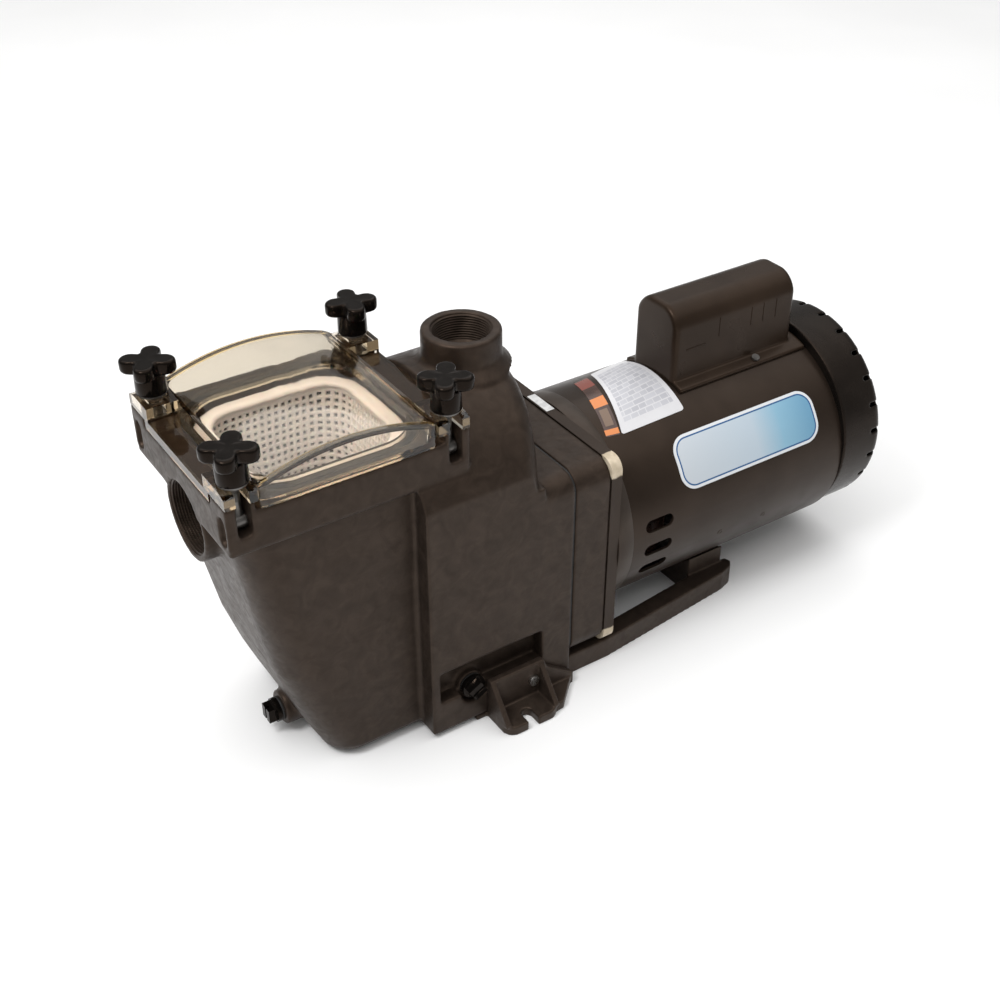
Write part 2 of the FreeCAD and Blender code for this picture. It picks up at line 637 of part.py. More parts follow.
def terminal_board():
    x = SHELL_X[1]
    plate = box((x + 0.2, x + 4.0), (-26, 26), (AXIS_Z - 84, AXIS_Z - 64))
    posts = [cyl_x(3.0, x + 3.5, x + 12.0, y, AXIS_Z - 74) for y in (-18, -6, 6, 18)]
    return fuse([plate] + posts)


# ---------------------------------------------------------------- capacitor and its cover
def capacitor_cover():
    x0, x1 = CAP_X
    body = arch_bar(CAP_HALF, CAP_TOP, CAP_ROUND, x0, x1)
    ends = [e for e in body.Edges if min(abs(e.CenterOfMass.x - x0), abs(e.CenterOfMass.x - x1)) < 0.1
            and e.CenterOfMass.z > AXIS_Z + 52]
    body = body.makeFillet(5.0, ends)
    room = arch_bar(CAP_HALF - 2.5, CAP_TOP - 2.5, CAP_ROUND - 2.5, x0 + 2.5, x1 - 2.5)
    ring = tube_x(MOTOR_R + 4.0, MOTOR_R, x0 + 1, x1 + 10)
    skirt = ring.common(box((x0, x1 + 11), (CAP_Y - 38.5, CAP_Y + 38.5), (AXIS_Z + 40, 400)))
    body = body.fuse(skirt).cut([cyl_x(MOTOR_R + 0.02, 0, 500), room])
    return body.cut(cover_screw_shapes(2.0, 30.0)).removeSplitter()


def arch_bar(half, top, r, x0, x1):
    """Bar along X with an arched top and straight sides down into the motor."""
    rounds = [cyl_x(r, x0, x1, CAP_Y + s * (half - r), top - r) for s in (-1.0, 1.0)]
    middle = box((x0, x1), (CAP_Y + r - half, CAP_Y + half - r), (AXIS_Z + 50, top))
    lower = box((x0, x1), (CAP_Y - half, CAP_Y + half), (AXIS_Z + 50, top - r))
    return fuse(rounds + [middle, lower])


def cover_screw_shapes(r, reach):
    """Two radial screws through the skirt of the capacitor cover."""
    shapes = []
    for x, angle in ((292.0, 17.6), (246.0, -22.0)):
        rod = cyl_z(r, AXIS_Z + MOTOR_R - SHELL_T, AXIS_Z + MOTOR_R + reach, x, 0.0)
        rod.rotate(V(x, 0, AXIS_Z), V(1, 0, 0), angle)
        shapes.append(rod)
    return shapes


def capacitor_cover_screws():
    room = cyl_x(MOTOR_R + 4.0, 0, 500)
    pairs = zip(cover_screw_shapes(1.95, 5.0), cover_screw_shapes(3.6, 6.4))
    return Part.makeCompound([stem.fuse(head.cut(room)).removeSplitter() for stem, head in pairs])


CAP_AXIS_Z = AXIS_Z + MOTOR_R + 22.5


def capacitor():
    can = cyl_x(20.0, CAP_X[0] + 14, CAP_X[1] - 18, CAP_Y, CAP_AXIS_Z)
    can = soften(can, 2.0, lambda e: e.Closed and len(e.Vertexes) == 1)
    tabs = [box((CAP_X[1] - 19, CAP_X[1] - 10), (CAP_Y + s - 3, CAP_Y + s + 3),
                (CAP_AXIS_Z - 0.4, CAP_AXIS_Z + 0.4)) for s in (-7.0, 7.0)]
    return fuse([can] + tabs)


def capacitor_strap():
    x = 0.5 * (CAP_X[0] + CAP_X[1])
    band = tube_x(21.2, 20.02, x - 7, x + 7, CAP_Y, CAP_AXIS_Z)
    band = band.cut(box((0, 500), (-40, 40), (0, CAP_AXIS_Z - 14)))
    feet = [box((x - 7, x + 7), span(s, 15.3, 16.5), (AXIS_Z + 92, CAP_AXIS_Z - 12.9))
            .translated(V(0, CAP_Y, 0)) for s in (-1.0, 1.0)]
    return fuse([band] + feet).cut(cyl_x(MOTOR_R + 0.02, 0, 500))


# ---------------------------------------------------------------- foot
def mounting_foot():
    shapes = [box((-50.0, FLANGE_X), (-HALF, HALF), (0.0, CASE_Z[0]))]
    wall_y = -HALF - 6.0
    ear = slab_z(EAR_X, (-EAR_OUT, 20 - HALF), (0.0, 9.0), 11.0)
    side = [ear.common(box((-100, 100), (-200, -HALF), (0, 20)))]
    side.append(box(EAR_X, (wall_y, -HALF), (0.0, 42.0)))
    side.append(prism_y([(EAR_X[1], 0), (FLANGE_X, 0), (FLANGE_X, 12), (18, 32), (EAR_X[1], 42)],
                        wall_y, -HALF))
    side.append(prism_z([(0, -HALF), (0, -124), (20, -123), (FLANGE_X, -98), (FLANGE_X, -HALF)],
                        0.0, 9.0))
    for x in (EAR_X[0], EAR_X[1] - 5.0):
        side.append(prism_x([(wall_y + 1, 8), (3 - EAR_OUT, 8), (3 - EAR_OUT, 11),
                             (wall_y + 1, 42)], x, x + 5.0))
    side.append(prism_z([(FLANGE_X, -90.5), (91, -90.5), (238, -74.5), (252, -70), (257, -64),
                         (255, -58), (244, -56), (91, -73), (FLANGE_X, -73)], 0.0, 21.0))
    slot = fuse([cyl_z(FOOT_SLOT_R, -1, 20, FOOT_SLOT_X, -FOOT_SLOT_Y),
                 box((FOOT_SLOT_X - FOOT_SLOT_R, FOOT_SLOT_X + FOOT_SLOT_R),
                     (-200, -FOOT_SLOT_Y), (-1, 20))])
    block = fuse(side).cut(slot)
    saddle = box((208.0, 248.0), (-60.0, 60.0), (0.0, 44.0))
    foot = fuse(shapes + [block, mirror_y(block), saddle])
    keep = cyl_x(MOTOR_R + 2.5, 94.0, 400.0)
    return foot.cut([keep] + foot_screw_shapes(2.5)).removeSplitter()


def motor_pad():
    ring = tube_x(MOTOR_R + 2.48, MOTOR_R + 0.02, 210.0, 246.0)
    return ring.common(box((0, 400), (-56, 56), (0, AXIS_Z - 60)))


def foot_screws():
    screws = []
    for stem in foot_screw_shapes(2.45):
        c = stem.BoundBox.Center
        sign = -1.0 if c.y < 0 else 1.0
        y = span(sign, HALF + 6.0, HALF + 9.0)
        screws.append(stem.fuse(cyl_y(4.8, y[0], y[1], c.x, c.z)).removeSplitter())
    return Part.makeCompound(screws)


# ---------------------------------------------------------------- plates and labels
def wrapped_label(x, angles, thick):
    """Thin plate wrapped on the motor between two angles from +Z towards -Y."""
    ring = tube_x(MOTOR_R + thick, MOTOR_R, x[0], x[1])
    mid = 0.5 * (angles[0] + angles[1])
    half = 0.5 * (angles[1] - angles[0])
    far = 200.0
    t = math.tan(math.radians(half))
    wedge = prism_x([(0, AXIS_Z), (far * t, AXIS_Z + far), (-far * t, AXIS_Z + far)], x[0], x[1])
    wedge.rotate(V(0, 0, AXIS_Z), V(1, 0, 0), mid)
    return ring.common(wedge)


# ---------------------------------------------------------------- write every node
def nodes():
    yield "pump_housing", pump_housing()
    yield "strainer_lid", strainer_lid()
    yield "lid_gasket", lid_gasket()
    yield "strainer_basket", strainer_basket()
    for name, x, y, _ in corners():
        star = 78.0 if name == "rear_left" else 56.4
        yield "lid_knob_" + name, lid_knob(x, y, star)
        yield "swing_bolt_" + name, swing_bolt(x, y)
        yield "knob_washer_" + name, knob_washer(x, y)
    yield "swing_bolt_pins", Part.makeCompound(pin_shapes(2.98))
    yield "drain_plug_front", to_front_drain(drain_plug(2.05))
    yield "drain_gasket_front", to_front_drain(drain_gasket(2.0))
    yield "drain_plug_side", to_side_drain(drain_plug(2.05))
    yield "drain_gasket_side", to_side_drain(drain_gasket(2.0))
    yield "diffuser", diffuser()
    yield "wear_ring", wear_ring()
    yield "impeller", impeller()
    yield "impeller_screw", impeller_screw()
    yield "seal_head", seal_head()
    yield "seal_seat", seal_seat()
    yield "seal_plate", seal_plate()
    yield "housing_gasket", housing_gasket()
    yield "housing_bolts", housing_bolts()
    yield "motor_front_bracket", motor_front_bracket()
    yield "motor_shell", motor_shell()
    yield "stator_core", stator_core()
    yield "stator_windings", stator_windings()
    yield "rotor_core", rotor_core()
    yield "motor_shaft", motor_shaft()
    yield "slinger", slinger()
    for end, x in (("front", FRONT_BEARING_X), ("rear", REAR_BEARING_X)):
        outer, inner, balls = bearing(x)
        yield end + "_bearing_outer_ring", outer
        yield end + "_bearing_inner_ring", inner
        yield end + "_bearing_balls", balls
    yield "motor_rear_bracket", motor_rear_bracket()
    yield "motor_through_bolts", motor_through_bolts()
    yield "cooling_fan", cooling_fan()
    yield "rear_cover", rear_cover()
    yield "rear_cover_screws", rear_cover_screws()
    yield "terminal_board", terminal_board()
    yield "capacitor_cover", capacitor_cover()
    yield "capacitor_cover_screws", capacitor_cover_screws()
    yield "capacitor", capacitor()
    yield "capacitor_strap", capacitor_strap()
    yield "mounting_foot", mounting_foot()
    yield "foot_screws", foot_screws()
    yield "motor_pad", motor_pad()
    yield "rating_label", wrapped_label((132.0, 200.0), (-32.0, 31.0), 0.3)
    yield "caution_strip", wrapped_label((114.0, 131.0), (-18.0, 30.0), 0.3)
    yield "name_plate", wrapped_label((165.0, 325.0), (44.0, 70.0), 0.6)


os.makedirs("parts", exist_ok=True)
for name, shape in nodes():
    shape.exportStep(os.path.join("parts", name + ".step"))
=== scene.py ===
"""Looks of a pool pump: a strainer pot under a clear lid, a black casing and a motor on a foot."""
import json
import math

import bmesh
import bpy
from mathutils import Matrix, Vector

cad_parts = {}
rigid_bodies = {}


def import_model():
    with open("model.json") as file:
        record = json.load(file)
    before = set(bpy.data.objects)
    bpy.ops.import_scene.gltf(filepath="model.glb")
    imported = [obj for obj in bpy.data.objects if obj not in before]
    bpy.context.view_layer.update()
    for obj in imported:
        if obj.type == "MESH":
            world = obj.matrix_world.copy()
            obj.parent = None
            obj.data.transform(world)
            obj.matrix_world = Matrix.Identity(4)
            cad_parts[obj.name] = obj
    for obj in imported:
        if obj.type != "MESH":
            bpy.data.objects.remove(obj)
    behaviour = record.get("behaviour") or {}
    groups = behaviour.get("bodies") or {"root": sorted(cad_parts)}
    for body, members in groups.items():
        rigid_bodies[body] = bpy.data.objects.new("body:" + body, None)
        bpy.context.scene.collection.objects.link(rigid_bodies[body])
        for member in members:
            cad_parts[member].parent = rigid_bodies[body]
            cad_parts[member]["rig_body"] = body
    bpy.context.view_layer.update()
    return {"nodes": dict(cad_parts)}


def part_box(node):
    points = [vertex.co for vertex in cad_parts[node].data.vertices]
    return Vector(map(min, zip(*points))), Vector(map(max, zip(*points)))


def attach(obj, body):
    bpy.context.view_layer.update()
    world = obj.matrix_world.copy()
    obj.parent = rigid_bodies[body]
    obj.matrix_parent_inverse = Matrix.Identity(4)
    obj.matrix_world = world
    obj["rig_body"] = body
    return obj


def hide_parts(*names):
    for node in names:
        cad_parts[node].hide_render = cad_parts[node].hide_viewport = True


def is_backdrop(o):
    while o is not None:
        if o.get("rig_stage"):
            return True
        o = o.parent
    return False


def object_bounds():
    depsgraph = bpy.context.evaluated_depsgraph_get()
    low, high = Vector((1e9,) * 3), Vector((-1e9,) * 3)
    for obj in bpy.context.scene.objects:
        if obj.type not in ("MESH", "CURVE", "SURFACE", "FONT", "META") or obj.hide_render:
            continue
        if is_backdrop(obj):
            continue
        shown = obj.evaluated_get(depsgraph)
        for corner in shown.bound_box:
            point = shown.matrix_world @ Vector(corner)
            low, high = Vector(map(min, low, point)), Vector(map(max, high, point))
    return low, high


MM = 0.001
AXIS_Z = 118 * MM

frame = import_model()
nodes = frame["nodes"]


# ---------------------------------------------------------------- materials
finishes = {}


class Finish:
    """A node material built round one Principled shader, patterned in the row frame.
    It is kept under its name in finishes."""

    def __init__(self, name, **values):
        finishes[name] = self
        self.material = bpy.data.materials.new(name)
        self.material.use_nodes = True
        self.tree = self.material.node_tree
        self.shader = self.tree.nodes["Principled BSDF"]
        self.coords = self.add("ShaderNodeTexCoord").outputs["Object"]
        for socket, value in values.items():
            self.shader.inputs[socket.replace("_", " ")].default_value = value

    def add(self, kind, **settings):
        node = self.tree.nodes.new(kind)
        for key, value in settings.items():
            setattr(node, key, value)
        return node

    def join(self, output, target):
        self.tree.links.new(output, target)

    def stretched(self, scale):
        mapping = self.add("ShaderNodeMapping")
        mapping.inputs["Scale"].default_value = scale
        self.join(self.coords, mapping.inputs["Vector"])
        return mapping.outputs["Vector"]

    def noise(self, scale, detail=3.0, distortion=0.0, vector=None):
        node = self.add("ShaderNodeTexNoise")
        node.inputs["Scale"].default_value = scale
        node.inputs["Detail"].default_value = detail
        node.inputs["Distortion"].default_value = distortion
        self.join(vector or self.coords, node.inputs["Vector"])
        return node.outputs["Fac"]

    def ramp(self, value, stops):
        node = self.add("ShaderNodeValToRGB")
        elements = node.color_ramp.elements
        while len(elements) < len(stops):
            elements.new(0.5)
        for element, (place, colour) in zip(elements, stops):
            element.position = place
            element.color = (*colour, 1)
        self.join(value, node.inputs["Fac"])
        return node.outputs["Color"]

    def spread(self, value, low, high, start=0.3, end=0.7):
        node = self.add("ShaderNodeMapRange")
        node.inputs["From Min"].default_value = start
        node.inputs["From Max"].default_value = end
        node.inputs["To Min"].default_value = low
        node.inputs["To Max"].default_value = high
        self.join(value, node.inputs["Value"])
        return node.outputs["Result"]

    def math(self, operation, a, b=0.0):
        node = self.add("ShaderNodeMath", operation=operation)
        for socket, value in zip(node.inputs, (a, b)):
            if isinstance(value, (int, float)):
                socket.default_value = value
            else:
                self.join(value, socket)
        return node.outputs["Value"]

    def blend(self, factor, first, second):
        node = self.add("ShaderNodeMix", data_type="RGBA")
        self.join(factor, node.inputs["Factor"])
        for socket, value in ((node.inputs[6], first), (node.inputs[7], second)):
            if isinstance(value, tuple):
                socket.default_value = (*value, 1)
            else:
                self.join(value, socket)
        return node.outputs[2]

    def colour(self, output):
        self.join(output, self.shader.inputs["Base Color"])

    def rough(self, output):
        self.join(output, self.shader.inputs["Roughness"])

    def bump(self, height, depth, strength=1.0, previous=None):
        node = self.add("ShaderNodeBump")
        node.inputs["Strength"].default_value = strength
        node.inputs["Distance"].default_value = depth
        self.join(height, node.inputs["Height"])
        if previous:
            self.join(previous, node.inputs["Normal"])
        self.join(node.outputs["Normal"], self.shader.inputs["Normal"])
        return node.outputs["Normal"]


def patterned(name, stops, rough, patch, grain, depth, distortion=0.0, scale=None, **values):
    """A finish with patches of colour and gloss, and a fine grain in its surface."""
    made = Finish(name, **values)
    vector = made.stretched(scale) if scale else None
    patches = made.noise(patch, 4, distortion, vector)
    made.colour(made.ramp(patches, stops))
    made.rough(made.spread(made.noise(patch * 1.7, 3, distortion, vector), *rough))
    made.bump(made.noise(grain, 2, 0, vector), depth)
    return made


WARM = (1.0, 0.72, 0.55, 1)  # tint of the gloss on the dark plastics and paint


def make_finishes():
    dark = ((0.30, (0.0120, 0.0086, 0.0066)), (0.50, (0.0185, 0.0132, 0.0102)),
            (0.70, (0.0270, 0.0195, 0.0150)))
    body = patterned("moulded_black", dark, (0.36, 0.52), 60, 900, 0.00004, 1.2,
                     Specular_IOR_Level=0.30, Specular_Tint=WARM)
    flow = body.noise(70, 5, 2.4)
    grain = body.bump(body.noise(900, 2), 0.00005, 0.6)
    body.bump(flow, 0.0005, 0.18, grain)
    patterned(
        "knob_black", ((0.3, (0.0020, 0.0017, 0.0015)), (0.7, (0.0050, 0.0042, 0.0037))),
        (0.10, 0.17), 60, 1400, 0.00002, 0.5, Specular_IOR_Level=0.13, Specular_Tint=WARM)
    patterned(
        "foot_black", ((0.3, (0.016, 0.0115, 0.0090)), (0.7, (0.032, 0.0235, 0.0185))),
        (0.36, 0.54), 40, 800, 0.00006, 1.6, Specular_IOR_Level=0.34, Specular_Tint=WARM)
    patterned(
        "motor_paint", ((0.3, (0.0115, 0.0080, 0.0060)), (0.7, (0.0200, 0.0140, 0.0105))),
        (0.30, 0.40), 22, 1100, 0.00003, 0.4, Specular_IOR_Level=0.26, Specular_Tint=WARM)
    patterned(
        "band_paint", ((0.3, (0.026, 0.021, 0.018)), (0.7, (0.048, 0.040, 0.034))),
        (0.34, 0.46), 30, 900, 0.00003, 0.4, Specular_IOR_Level=0.26, Specular_Tint=WARM)
    patterned(
        "cover_black", ((0.3, (0.0040, 0.0034, 0.0030)), (0.7, (0.0095, 0.0078, 0.0066))),
        (0.22, 0.34), 26, 700, 0.00004, 0.6, Specular_IOR_Level=0.17, Specular_Tint=WARM)
    patterned(
        "cap_black", ((0.3, (0.0135, 0.0085, 0.0056)), (0.7, (0.0240, 0.0155, 0.0104))),
        (0.26, 0.34), 18, 900, 0.00003, 0.3, Specular_IOR_Level=0.20, Specular_Tint=WARM)
    patterned(
        "white_plastic", ((0.3, (0.70, 0.665, 0.665)), (0.7, (0.82, 0.785, 0.780))),
        (0.34, 0.46), 35, 600, 0.00005, 0.3, Subsurface_Weight=0.12,
        Subsurface_Scale=0.004)
    patterned(
        "tag_white", ((0.4, (0.56, 0.56, 0.56)), (0.6, (0.72, 0.72, 0.71))),
        (0.3, 0.45), 160, 900, 0.00003, 0.2)
    patterned(
        "steel", ((0.3, (0.42, 0.41, 0.39)), (0.7, (0.62, 0.61, 0.59))),
        (0.22, 0.38), 120, 1500, 0.00003, 0.4, (1, 1, 0.25), Metallic=1.0)
    patterned(
        "dark_steel", ((0.3, (0.10, 0.095, 0.09)), (0.7, (0.20, 0.19, 0.18))),
        (0.28, 0.42), 120, 1500, 0.00003, 0.4, (1, 1, 0.25), Metallic=0.9)
    patterned(
        "core_steel", ((0.3, (0.16, 0.155, 0.15)), (0.7, (0.30, 0.29, 0.28))),
        (0.35, 0.5), 90, 1800, 0.00006, 0.2, (9, 1, 1), Metallic=1.0)
    patterned(
        "cast_aluminium", ((0.3, (0.46, 0.42, 0.34)), (0.7, (0.70, 0.66, 0.55))),
        (0.36, 0.55), 70, 700, 0.00012, 0.8, Metallic=0.55)
    patterned(
        "bronze", ((0.3, (0.35, 0.20, 0.09)), (0.7, (0.52, 0.32, 0.15))),
        (0.28, 0.42), 80, 900, 0.00005, 0.5, Metallic=1.0)
    # Winding copper kept reddish but painted almost black: painted shade for the dark inside of the
    # motor, seen through the vents.
    patterned(
        "copper", ((0.35, (0.012, 0.005, 0.003)), (0.65, (0.036, 0.014, 0.008))),
        (0.25, 0.45), 260, 900, 0.0002, 0.3, Metallic=0.4)
    patterned(
        "rubber_black", ((0.3, (0.010, 0.010, 0.010)), (0.7, (0.022, 0.021, 0.020))),
        (0.55, 0.75), 60, 1200, 0.00005, 0.3)
    patterned(
        "fan_plastic", ((0.3, (0.020, 0.021, 0.023)), (0.7, (0.040, 0.041, 0.044))),
        (0.38, 0.5), 45, 800, 0.00005, 0.3)
    patterned(
        "board_brown", ((0.3, (0.16, 0.075, 0.03)), (0.7, (0.26, 0.13, 0.055))),
        (0.4, 0.55), 90, 900, 0.00005, 0.3)
    patterned(
        "can_grey", ((0.3, (0.045, 0.046, 0.05)), (0.7, (0.09, 0.092, 0.098))),
        (0.3, 0.42), 40, 900, 0.00003, 0.3)


def bracket_paint():
    """Black bracket, worn to bare cast metal at its four corners."""
    made = Finish("bracket_paint", Specular_IOR_Level=0.28, Specular_Tint=WARM)
    parts = made.add("ShaderNodeSeparateXYZ")
    made.join(made.coords, parts.inputs["Vector"])
    side = made.math("ABSOLUTE", parts.outputs["Y"])
    height = made.math("ABSOLUTE", made.math("SUBTRACT", parts.outputs["Z"], AXIS_Z))
    corner = made.math("ADD", side, height)
    worn = made.math("ADD", corner, made.math("MULTIPLY", made.noise(90, 4), 0.006))
    bare = made.spread(worn, 0.0, 1.0, 0.1765, 0.1780)
    paint = made.ramp(made.noise(30, 3), ((0.3, (0.013, 0.0094, 0.0073)),
                                          (0.7, (0.024, 0.0175, 0.0137))))
    metal = made.ramp(made.noise(120, 3), ((0.3, (0.42, 0.35, 0.25)),
                                           (0.7, (0.66, 0.57, 0.44))))
    made.colour(made.blend(bare, paint, metal))
    made.rough(made.spread(made.noise(60, 3), 0.36, 0.5))
    made.bump(made.noise(700, 2), 0.00006)


def clear_amber():
    """Clear moulded lid: amber where light crosses much of it, and lamps shine through."""
    made = Finish("clear_amber", Base_Color=(0.955, 0.940, 0.905, 1), IOR=1.50,
                  Transmission_Weight=1.0)
    made.rough(made.spread(made.noise(60, 3, 0.5), 0.015, 0.06))
    made.bump(made.noise(14, 2, 0.6), 0.0012, 0.25)
    lamps = made.add("ShaderNodeBsdfTransparent")
    lamps.inputs["Color"].default_value = (0.84, 0.80, 0.76, 1)
    path = made.add("ShaderNodeLightPath")
    either = made.add("ShaderNodeMixShader")
    output = made.tree.nodes["Material Output"]
    made.join(path.outputs["Is Shadow Ray"], either.inputs["Fac"])
    made.join(made.shader.outputs["BSDF"], either.inputs[1])
    made.join(lamps.outputs["BSDF"], either.inputs[2])
    made.join(either.outputs["Shader"], output.inputs["Surface"])
    inside = made.add("ShaderNodeVolumeAbsorption")
    inside.inputs["Color"].default_value = (0.74, 0.62, 0.42, 1)
    inside.inputs["Density"].default_value = 66.0
    made.join(inside.outputs["Volume"], output.inputs["Volume"])


def patch_axes(made):
    """The u and v of a wrapped plate, as two number outputs."""
    parts = made.add("ShaderNodeSeparateXYZ")
    made.join(made.add("ShaderNodeTexCoord").outputs["UV"], parts.inputs["Vector"])
    return parts.outputs["X"], parts.outputs["Y"]


def inside_band(made, value, low, high):
    return made.math("MULTIPLY", made.math("GREATER_THAN", value, low),
                     made.math("LESS_THAN", value, high))


def label_white():
    """White plate with pale grey panels and no lettering."""
    made = Finish("label_white", Specular_IOR_Level=0.4, Roughness=0.30)
    u, v = patch_axes(made)
    panels = made.add("ShaderNodeTexBrick", offset=0.37, squash=1.6, squash_frequency=3)
    for socket, value in (("Scale", 7.0), ("Mortar Size", 0.045), ("Brick Width", 0.9),
                          ("Row Height", 0.42)):
        panels.inputs[socket].default_value = value
    panels.inputs["Color1"].default_value = (0.40, 0.40, 0.43, 1)
    panels.inputs["Color2"].default_value = (0.50, 0.50, 0.53, 1)
    panels.inputs["Mortar"].default_value = (0.58, 0.575, 0.59, 1)
    made.join(made.add("ShaderNodeTexCoord").outputs["UV"], panels.inputs["Vector"])
    area = made.math("MULTIPLY", inside_band(made, u, 0.08, 0.92),
                     inside_band(made, v, 0.12, 0.90))
    paper = made.ramp(made.noise(40, 3), ((0.3, (0.57, 0.565, 0.58)), (0.7, (0.62, 0.615, 0.63))))
    made.colour(made.blend(area, paper, panels.outputs["Color"]))
    made.bump(made.noise(500, 2), 0.00002)


def label_orange():
    """Dark strip with one orange block, one orange bar and a reddish head."""
    made = Finish("label_orange")
    u, v = patch_axes(made)
    ground = made.ramp(made.noise(60, 3), ((0.3, (0.035, 0.016, 0.012)),
                                           (0.7, (0.075, 0.035, 0.024))))
    block = inside_band(made, v, 0.47, 0.62)
    bar = inside_band(made, v, 0.92, 0.985)
    head = inside_band(made, v, 0.03, 0.26)
    pale = made.math("MULTIPLY", inside_band(made, v, 0.66, 0.88), inside_band(made, u, 0.2, 0.8))
    shade = made.blend(head, ground, (0.20, 0.055, 0.040))
    shade = made.blend(pale, shade, (0.16, 0.10, 0.065))
    shade = made.blend(made.math("MAXIMUM", block, bar), shade, (0.62, 0.20, 0.050))
    made.colour(shade)
    made.rough(made.spread(made.noise(30, 3), 0.20, 0.32))
    made.bump(made.noise(500, 2), 0.00003)


def label_blue():
    """Plain name plate: blue-grey ground, pale border, thin darker line."""
    made = Finish("label_blue", Specular_IOR_Level=0.4, Roughness=0.27)
    u, v = patch_axes(made)
    past = []
    for value, size in ((u, PLATE_SIZE[0]), (v, PLATE_SIZE[1])):
        off_middle = made.math("ABSOLUTE", made.math("SUBTRACT", value, 0.5))
        past.append(made.math("SUBTRACT", made.math("MULTIPLY", off_middle, size),
                              size / 2 - PLATE_ROUNDING))
    outside = [made.math("POWER", made.math("MAXIMUM", value, 0.0), 2.0) for value in past]
    corner = made.math("SQRT", made.math("ADD", *outside))
    flat = made.math("MINIMUM", made.math("MAXIMUM", *past), 0.0)
    edge = made.math("SUBTRACT", PLATE_ROUNDING, made.math("ADD", corner, flat))
    ground = made.ramp(u, ((0.0, (0.52, 0.56, 0.60)), (0.55, (0.45, 0.53, 0.60)),
                           (0.74, (0.24, 0.43, 0.56)), (1.0, (0.13, 0.30, 0.45))))
    line = inside_band(made, edge, 2.6, 4.0)
    border = made.math("LESS_THAN", edge, 2.6)
    shade = made.blend(line, ground, (0.03, 0.10, 0.24))
    shade = made.blend(border, shade, (0.66, 0.68, 0.70))
    made.colour(shade)
    made.bump(made.noise(500, 2), 0.00001)


# Name plate: length, height and corner radius in mm.
PLATE_SIZE = (160.0, 48.6)
PLATE_ROUNDING = 16.0
# The shell's outside and the plates' undersides, as radii in mm.
SHELL_SEAT, PLATE_SEAT = 95.95, 96.05

make_finishes()
bracket_paint()
clear_amber()
patterned(
    "edge_amber", ((0.35, (0.93, 0.76, 0.44)), (0.65, (1.0, 0.88, 0.62))), (0.02, 0.06), 30,
    400, 0.00003, 0.8, Transmission_Weight=1.0, IOR=1.5)
label_white()
label_orange()
label_blue()


def dress(piece, finish):
    piece.data.materials.clear()
    piece.data.materials.append(finishes[finish].material)
    return piece


# ---------------------------------------------------------------- pieces
def place(name, mesh, body, slot, finish=None):
    """Links a new piece, rides it on a body and gives it a finish."""
    piece = bpy.data.objects.new(name, mesh)
    bpy.context.scene.collection.objects.link(piece)
    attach(piece, body)
    return dress(piece, finish or slot)


def smooth_shade(mesh, angle=None):
    for polygon in mesh.polygons:
        polygon.use_smooth = True
    if angle:
        mesh.set_sharp_from_angle(angle=math.radians(angle))


def body_name(node):
    return nodes[node]["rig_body"]


def moulded(node, slot, voxel, rounds, finish=None):
    """A copy of a CAD node as one skin with softly rounded edges, standing for the node."""
    piece = place(node + "_moulded", nodes[node].data.copy(), body_name(node), slot, finish)
    skin = piece.modifiers.new("skin", "REMESH")
    skin.mode = "VOXEL"
    skin.voxel_size = voxel
    skin.use_smooth_shade = True
    soften = piece.modifiers.new("soften", "SMOOTH")
    soften.factor = 0.5
    soften.iterations = rounds
    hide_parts(node)
    return piece


def bevelled(node, finish, width, segments=2):
    """A CAD node kept as it is, with its sharp edges broken by a bevel."""
    piece = nodes[node]
    weld = piece.modifiers.new("weld", "WELD")
    weld.merge_threshold = 0.00001
    bevel = piece.modifiers.new("edges", "BEVEL")
    bevel.width = width
    bevel.segments = segments
    bevel.limit_method = "ANGLE"
    bevel.angle_limit = math.radians(35)
    bevel.harden_normals = False
    bevel.miter_outer = "MITER_ARC"
    dress(piece, finish)


def mesh_from(bm, name, smooth_angle=35):
    bmesh.ops.recalc_face_normals(bm, faces=bm.faces)
    mesh = bpy.data.meshes.new(name)
    bm.to_mesh(mesh)
    bm.free()
    smooth_shade(mesh, smooth_angle)
    return mesh


def tube_grid(bm, radius_at, rows, columns, closed_rows):
    """Rings of vertices joined by quads; radius_at(row, column) gives each place."""
    rings = [[bm.verts.new(radius_at(r, c)) for c in range(columns)] for r in range(rows)]
    last = rows if closed_rows else rows - 1
    for r in range(last):
        for c in range(columns):
            near, far = rings[r], rings[(r + 1) % rows]
            bm.faces.new((near[c], near[(c + 1) % columns], far[(c + 1) % columns], far[c]))
    return rings


def wave(phase):
    """Triangle wave from 0 to 1 with flattened crests."""
    part = phase % 1.0
    return min(1.0, max(0.0, 1.3 * (1 - abs(2 * part - 1)) - 0.15))


def threaded_sleeve(name, radius, length, at, turn):
    """The internal thread of a port: a sleeve whose inner wall is a helical ridge."""
    depth, pitch = 1.3 * MM, 2.209 * MM
    rows, columns = round(length / pitch * 10), 96
    outer = radius + 0.8 * MM

    def spot(row, column):
        angle = 2 * math.pi * column / columns
        if row < rows:
            z = -length * row / (rows - 1)
            fade = min(1, row / 6)
            r = radius + 0.15 * MM - fade * depth * wave(-z / pitch - column / columns)
        else:
            z = -length if row == rows else 0.0
            r = outer
        return Vector((r * math.cos(angle), r * math.sin(angle), z))

    bm = bmesh.new()
    tube_grid(bm, spot, rows + 2, columns, True)
    bm.transform(Matrix.Translation(at) @ turn)
    place(name, mesh_from(bm, name, 50), "pump", "moulded_black")


